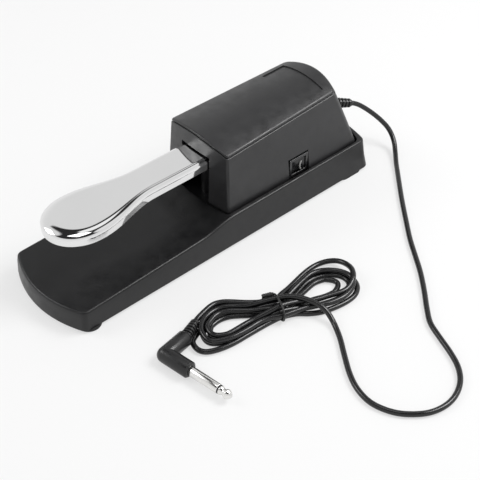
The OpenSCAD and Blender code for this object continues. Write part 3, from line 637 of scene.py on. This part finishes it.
def faired(o, width, segments=3, sharp=0.9):
    """Rounds every crisp edge of a piece made of flat faces."""
    bm = bmesh.new()
    bm.from_mesh(o.data)
    bmesh.ops.remove_doubles(bm, verts=bm.verts, dist=1e-6)
    bmesh.ops.recalc_face_normals(bm, faces=bm.faces)
    edges = [e for e in bm.edges if len(e.link_faces) == 2 and e.calc_face_angle(0) > sharp]
    bmesh.ops.bevel(bm, geom=edges, offset=width * MM, segments=segments, affect="EDGES", profile=0.5)
    bm.to_mesh(o.data)
    bm.free()
    return o


bezel = block("bezel", (28.4, 55.7, 23), (30.2, 72.8, 37.8))
well = block("w", (22, RY - 6.4, 25), (31, RY + 6.4, 35.6))
cut(bezel, well)
faired(bezel, 0.3)
body = block("sb", (20, 56, FLOOR), (28.5, 72.4, 37.2))
well = join("w", [block("w", (22, RY - 6.4, 25), (31, RY + 6.4, 36)), lathe("w", [(23.9, 0), (23.9, 1.05), (37.3, 1.05), (37.3, 0)], Matrix.Translation((RX, RY, 0)), 32)])
cut(body, well)
tabs = [faired(block("tab", (17.5, y - 0.4, 28), (20.1, y + 0.4, 32)), 0.1, 2) for y in (58, 63.5, 69)]
frame_piece = join("switch_frame", [bezel, body] + tabs)
tidy(frame_piece, 35)
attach(frame_piece, "base"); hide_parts("polarity_frame")

prof = []
for i in range(13):
    prof.append((lerp(4.55, 3.05, math.sin(math.pi / 2 * i / 12)), lerp(-5.5, -0.35, i / 12)))
for i in range(13):
    prof.append((lerp(3.05, 4.55, 1 - math.cos(math.pi / 2 * i / 12)), lerp(0.35, 5.5, i / 12)))
prof += [(4.2, 5.6), (-1, 5.0), (-1, -5.0), (4.2, -5.6)]
c8, s8 = math.cos(math.radians(-8)), math.sin(math.radians(-8))


def turned(x, y):
    return (RX + x * c8 - y * s8, RY + x * s8 + y * c8)


rocker = faired(rings_mesh("rocker_cap", [[(*turned(x, y), z) for x, y in prof] for z in (25.15, 35.5)]), 0.28)
stem = lathe("stem", [(24, 0), (24, 1.0), (37.2, 1.0), (37.2, 0)], Matrix.Translation((RX, RY, 0)), 32)
rocker = join("rocker_cap", [rocker, stem])
tidy(rocker, 35)
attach(rocker, "rocker"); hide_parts("polarity_rocker")

# raised stroke on the half of the rocker that stands proud, coloured light grey as a painted highlight
highlight_stroke_pts = [Vector((*turned(3.55 + 0.3 * math.sin(math.pi * t), 1.9 + 1.1 * (2 * t - 1) ** 2 + 0.6 * t), lerp(25.8, 32.6, t))) for t in [i / 12 for i in range(13)]]


highlight_stroke = tidy(tube_mesh("rocker_painted_highlight", highlight_stroke_pts, 0.62, 12), 60, False)
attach(highlight_stroke, "rocker")

# ------------------------------------------------------------------ softened edges on the CAD pieces that stay
def soften(node, width=0.2, angle=35):
    o = N[node]
    o.data.shade_smooth()
    w = o.modifiers.new("weld", "WELD"); w.merge_threshold = 2e-6
    b = o.modifiers.new("edges", "BEVEL")
    b.width, b.segments, b.limit_method, b.angle_limit, b.use_clamp_overlap = width * MM, 2, "ANGLE", math.radians(angle), True
    b.harden_normals = True
    return o


for name, w in (("front_feet", 0.25), ("rear_feet", 0.3), ("plug_body", 0.3), ("bottom_plate", 0.15),
                ("pivot_bracket", 0.2), ("rest_pad", 0.3), ("down_stop_pad", 0.2), ("lead_clamp", 0.15), ("switch_board", 0.08),
                ("switch_body", 0.15), ("spring_cap", 0.2), ("actuator_pad", 0.2), ("spring_seat", 0.2), ("switch_plunger", 0.12),
                ("plug_sleeve", 0.06), ("plug_insulator", 0.05), ("plug_tip", 0.08), ("pivot_pin", 0.1), ("pin_clips", 0.08),
                ("pivot_bushes", 0.1), ("plate_screws", 0.1), ("housing_screws", 0.1), ("bracket_screws", 0.1), ("board_screws", 0.08)):
    soften(name, w)
for name in ("return_spring", "inner_lead", "switch_leads"):
    N[name].data.shade_smooth()

# the spring, which the lever shortens as it goes down, copied as it is from its CAD mesh: 30.2 mm tall, and 54.6 mm
# from the hinge at its front edge
coil_spring = bpy.data.objects.new("coil_spring", N["return_spring"].data.copy())
S.collection.objects.link(coil_spring)
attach(coil_spring, "base"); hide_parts("return_spring")
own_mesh(coil_spring)


# ------------------------------------------------------------------ materials
def material(name, color, rough, metallic=0.0, spec=0.5, coat=0.0, coat_rough=0.1, vary=0.25, vary_scale=60.0, rough_vary=0.08,
             grain=None, scratches=None, extra=None):
    """grain: (scale, depth in mm); scratches: (scale, depth in mm, stretch vector)."""
    m = bpy.data.materials.new(name)
    m.use_nodes = True
    nt = m.node_tree
    b = nt.nodes["Principled BSDF"]
    b.inputs["Metallic"].default_value = metallic
    b.inputs["Specular IOR Level"].default_value = spec
    b.inputs["Coat Weight"].default_value = coat
    b.inputs["Coat Roughness"].default_value = coat_rough
    tc = nt.nodes.new("ShaderNodeTexCoord")
    n1 = nt.nodes.new("ShaderNodeTexNoise")
    n1.inputs["Scale"].default_value, n1.inputs["Detail"].default_value = vary_scale, 5
    nt.links.new(tc.outputs["Object"], n1.inputs["Vector"])
    ramp = nt.nodes.new("ShaderNodeValToRGB")
    lo, hi = [max(0, c * (1 - vary)) for c in color], [min(1, c * (1 + vary)) for c in color]
    ramp.color_ramp.elements[0].position, ramp.color_ramp.elements[1].position = 0.3, 0.7
    ramp.color_ramp.elements[0].color, ramp.color_ramp.elements[1].color = (*lo, 1), (*hi, 1)
    nt.links.new(n1.outputs["Fac"], ramp.inputs["Fac"])
    color_out = ramp.outputs["Color"]
    if extra:
        color_out = extra(nt, tc, color_out)
    nt.links.new(color_out, b.inputs["Base Color"])
    n2 = nt.nodes.new("ShaderNodeTexNoise")
    n2.inputs["Scale"].default_value, n2.inputs["Detail"].default_value = vary_scale * 3.1, 4
    nt.links.new(tc.outputs["Object"], n2.inputs["Vector"])
    mr = nt.nodes.new("ShaderNodeMapRange")
    mr.inputs["From Min"].default_value, mr.inputs["From Max"].default_value = 0.3, 0.7
    mr.inputs["To Min"].default_value, mr.inputs["To Max"].default_value = max(0.02, rough - rough_vary), min(1, rough + rough_vary)
    nt.links.new(n2.outputs["Fac"], mr.inputs["Value"])
    nt.links.new(mr.outputs["Result"], b.inputs["Roughness"])
    normal = None
    if grain:
        g = nt.nodes.new("ShaderNodeTexNoise")
        g.inputs["Scale"].default_value, g.inputs["Detail"].default_value, g.inputs["Roughness"].default_value = grain[0], 3, 0.6
        nt.links.new(tc.outputs["Object"], g.inputs["Vector"])
        bump = nt.nodes.new("ShaderNodeBump")
        bump.inputs["Distance"].default_value, bump.inputs["Strength"].default_value = grain[1] * MM, 1.0
        nt.links.new(g.outputs["Fac"], bump.inputs["Height"])
        normal = bump
    if scratches:
        mp = nt.nodes.new("ShaderNodeMapping")
        mp.inputs["Scale"].default_value = scratches[2]
        nt.links.new(tc.outputs["Object"], mp.inputs["Vector"])
        g = nt.nodes.new("ShaderNodeTexNoise")
        g.inputs["Scale"].default_value, g.inputs["Detail"].default_value = scratches[0], 6
        nt.links.new(mp.outputs["Vector"], g.inputs["Vector"])
        bump2 = nt.nodes.new("ShaderNodeBump")
        bump2.inputs["Distance"].default_value, bump2.inputs["Strength"].default_value = scratches[1] * MM, 1.0
        nt.links.new(g.outputs["Fac"], bump2.inputs["Height"])
        if normal:
            nt.links.new(normal.outputs["Normal"], bump2.inputs["Normal"])
        normal = bump2
    if normal:
        nt.links.new(normal.outputs["Normal"], b.inputs["Normal"])
    return m


def traces(nt, tc, base):
    """Copper tracks under the green coat of the circuit board."""
    br = nt.nodes.new("ShaderNodeTexBrick")
    br.inputs["Scale"].default_value = 330
    br.inputs["Mortar Size"].default_value = 0.035
    br.inputs["Color1"].default_value = (0.022, 0.13, 0.05, 1)
    br.inputs["Color2"].default_value = (0.03, 0.16, 0.06, 1)
    br.inputs["Mortar"].default_value = (0.09, 0.32, 0.12, 1)
    nt.links.new(tc.outputs["Object"], br.inputs["Vector"])
    mx = nt.nodes.new("ShaderNodeMix")
    mx.data_type = "RGBA"
    mx.inputs["Factor"].default_value = 0.8
    nt.links.new(base, mx.inputs["A"])
    nt.links.new(br.outputs["Color"], mx.inputs["B"])
    return mx.outputs["Result"]


MATS = {
    "base_plastic": material("base_plastic", (0.0045, 0.0045, 0.005), 0.36, spec=0.42, vary=0.15, grain=(1500, 0.02), vary_scale=45),
    "housing_plastic": material("housing_plastic", (0.014, 0.014, 0.0149), 0.38, spec=0.5, vary=0.15, grain=(1500, 0.02), vary_scale=45),
    "plate_steel": material("plate_steel", (0.05, 0.05, 0.055), 0.5, grain=(900, 0.05), vary=0.2),
    "rubber": material("rubber", (0.018, 0.018, 0.018), 0.72, spec=0.35, grain=(700, 0.06), vary=0.3),
    "zinc_steel": material("zinc_steel", (0.62, 0.62, 0.6), 0.32, 1.0, vary=0.16, vary_scale=140, scratches=(900, 0.006, (1, 8, 8))),
    "spring_steel": material("spring_steel", (0.55, 0.55, 0.57), 0.28, 1.0, vary=0.2, vary_scale=220, scratches=(1400, 0.005, (6, 6, 1))),
    "nylon": material("nylon", (0.74, 0.72, 0.66), 0.45, spec=0.45, vary=0.06, grain=(600, 0.03)),
    "circuit_board": material("circuit_board", (0.03, 0.16, 0.06), 0.3, coat=0.6, vary=0.1, extra=traces, grain=(900, 0.01)),
    "switch_plastic": material("switch_plastic", (0.012, 0.012, 0.013), 0.2, spec=0.55, vary=0.2, rough_vary=0.05, grain=(900, 0.006)),
    "red_plastic": material("red_plastic", (0.45, 0.03, 0.025), 0.38, vary=0.1, grain=(800, 0.01)),
    "lead_jacket": material("lead_jacket", (0.0055, 0.0055, 0.006), 0.24, spec=0.5, vary=0.25, rough_vary=0.05, grain=(300, 0.004), vary_scale=120),
    "tie_plastic": material("tie_plastic", (0.012, 0.012, 0.012), 0.42, vary=0.2, grain=(900, 0.02)),
    "plug_plastic": material("plug_plastic", (0.007, 0.007, 0.0075), 0.33, spec=0.5, vary=0.2, rough_vary=0.06, grain=(700, 0.02), vary_scale=90),
    "lever_chrome": material("lever_chrome", (0.80, 0.80, 0.80), 0.06, 1.0, vary=0.015, vary_scale=30, rough_vary=0.02, scratches=(700, 0.0012, (1, 0.05, 1))),
    "jack_nickel": material("jack_nickel", (0.78, 0.775, 0.76), 0.16, 1.0, vary=0.03, vary_scale=200, rough_vary=0.04, scratches=(300, 0.0006, (1, 1, 1))),
}
slot_of = {s["node"]: s["material_slot"] for s in frame["record"]["subparts"]}


def paint(o, slot_name):
    o.data.materials.clear()
    o.data.materials.append(MATS[slot_name])


for name, o in N.items():
    paint(o, slot_of[name])
for o, s in ((base, "base_plastic"), (cover, "housing_plastic"), (lever, "lever_chrome"), (relief, "lead_jacket"), (boot, "plug_plastic"),
             (tie, "tie_plastic"), (lead, "lead_jacket"), (rocker, "switch_plastic"), (frame_piece, "switch_plastic")):
    paint(o, s)

# light grey of the rocker stroke: a painted highlight
highlight_stroke.data.materials.clear()
highlight_stroke.data.materials.append(material("painted_highlight_grey", (0.33, 0.33, 0.32), 0.35, vary=0.1, grain=(900, 0.004)))

# ------------------------------------------------------------------ floor, light
floor = make("floor", [(-6000, -6000, 0), (6000, -6000, 0), (6000, 6000, 0), (-6000, 6000, 0)], [[0, 1, 2, 3]])
fm = bpy.data.materials.new("floor")
fm.use_nodes = True
fb = fm.node_tree.nodes["Principled BSDF"]
fb.inputs["Base Color"].default_value = (0.28, 0.28, 0.28, 1)
fb.inputs["Roughness"].default_value = 0.9
fb.inputs["Specular IOR Level"].default_value = 0.1
fb.inputs["Emission Color"].default_value = (1, 1, 1, 1)
fb.inputs["Emission Strength"].default_value = 0.595
floor.data.materials.append(fm)

world = bpy.data.worlds.new("studio")
S.world = world
world.use_nodes = True
wn = world.node_tree
bg = wn.nodes["Background"]
tc = wn.nodes.new("ShaderNodeTexCoord")
sep = wn.nodes.new("ShaderNodeSeparateXYZ")
wn.links.new(tc.outputs["Generated"], sep.inputs["Vector"])


def wmath(op, a, b=None, clamp=False):
    n = wn.nodes.new("ShaderNodeMath")
    n.operation, n.use_clamp = op, clamp
    for k, v in enumerate((a, b)):
        if v is None:
            continue
        if isinstance(v, (int, float)):
            n.inputs[k].default_value = v
        else:
            wn.links.new(v, n.inputs[k])
    return n.outputs["Value"]


def wdot(v):
    n = wn.nodes.new("ShaderNodeVectorMath")
    n.operation = "DOT_PRODUCT"
    wn.links.new(tc.outputs["Generated"], n.inputs[0])
    n.inputs[1].default_value = v
    return n.outputs["Value"]


def wstep(v, lo, hi):
    n = wn.nodes.new("ShaderNodeMapRange")
    n.interpolation_type = "SMOOTHSTEP"
    wn.links.new(v, n.inputs["Value"])
    n.inputs["From Min"].default_value, n.inputs["From Max"].default_value = lo, hi
    n.inputs["To Min"].default_value, n.inputs["To Max"].default_value = 0, 1
    return n.outputs["Result"]


height = sep.outputs["Z"]
ramp = wn.nodes.new("ShaderNodeValToRGB")
els = ramp.color_ramp.elements
els[0].position, els[0].color = 0.0, (0.95, 0.95, 0.95, 1)
els[1].position, els[1].color = 1.0, (0.80, 0.80, 0.80, 1)
for pos, v in ((0.30, 0.90), (0.60, 0.81), (0.70, 0.80)):
    e = els.new(pos)
    e.color = (v, v, v, 1)
wn.links.new(height, ramp.inputs["Fac"])
# pale walls up to about 47 degrees, then a dark ceiling with three panels of light in it
walls = wmath("SUBTRACT", 1.0, wstep(height, 0.715, 0.75))
panel_a = wmath("MULTIPLY", wstep(wdot((-0.247, 0.353, 0.903)), 0.980, 0.987), 1.3)
panel_b = wstep(wdot((-0.62, -0.35, 0.70)), 0.90, 0.95)
panel_c = wmath("MULTIPLY", wstep(wdot((0.36, 0.48, 0.80)), 0.955, 0.975), 1.1)
keep = wmath("MAXIMUM", wmath("MAXIMUM", walls, 0.035), wmath("MAXIMUM", wmath("MAXIMUM", panel_a, panel_b), panel_c))
wn.links.new(ramp.outputs["Color"], bg.inputs["Color"])
wn.links.new(keep, bg.inputs["Strength"])


def area(name, at, target, size, power, shape_y=None):
    l = bpy.data.lights.new(name, "AREA")
    l.energy, l.size = power, size
    if shape_y:
        l.shape, l.size_y = "RECTANGLE", shape_y
    o = bpy.data.objects.new(name, l)
    S.collection.objects.link(o)
    o.location = at
    o.rotation_mode = "QUATERNION"
    o.rotation_quaternion = (Vector(target) - Vector(at)).to_track_quat("-Z", "Y")
    return o


rim_light = area("right_back", (0.42, 0.53, 0.88), (0.03, 0.0, 0.03), 0.5, 9.0)
area("front_left", (-0.67, -0.60, 0.78), (0.0, -0.05, 0.03), 0.45, 3.0)
area("overhead", (0.05, -0.10, 1.25), (0.03, 0.0, 0.03), 0.5, 2.0)
spared = bpy.data.collections.new("not_rim_lit")
spared.objects.link(lever)
rim_light.light_linking.receiver_collection = spared
spared.collection_objects[0].light_linking.link_state = "EXCLUDE"
S.view_settings.view_transform = "Standard"
S.view_settings.look = "None"
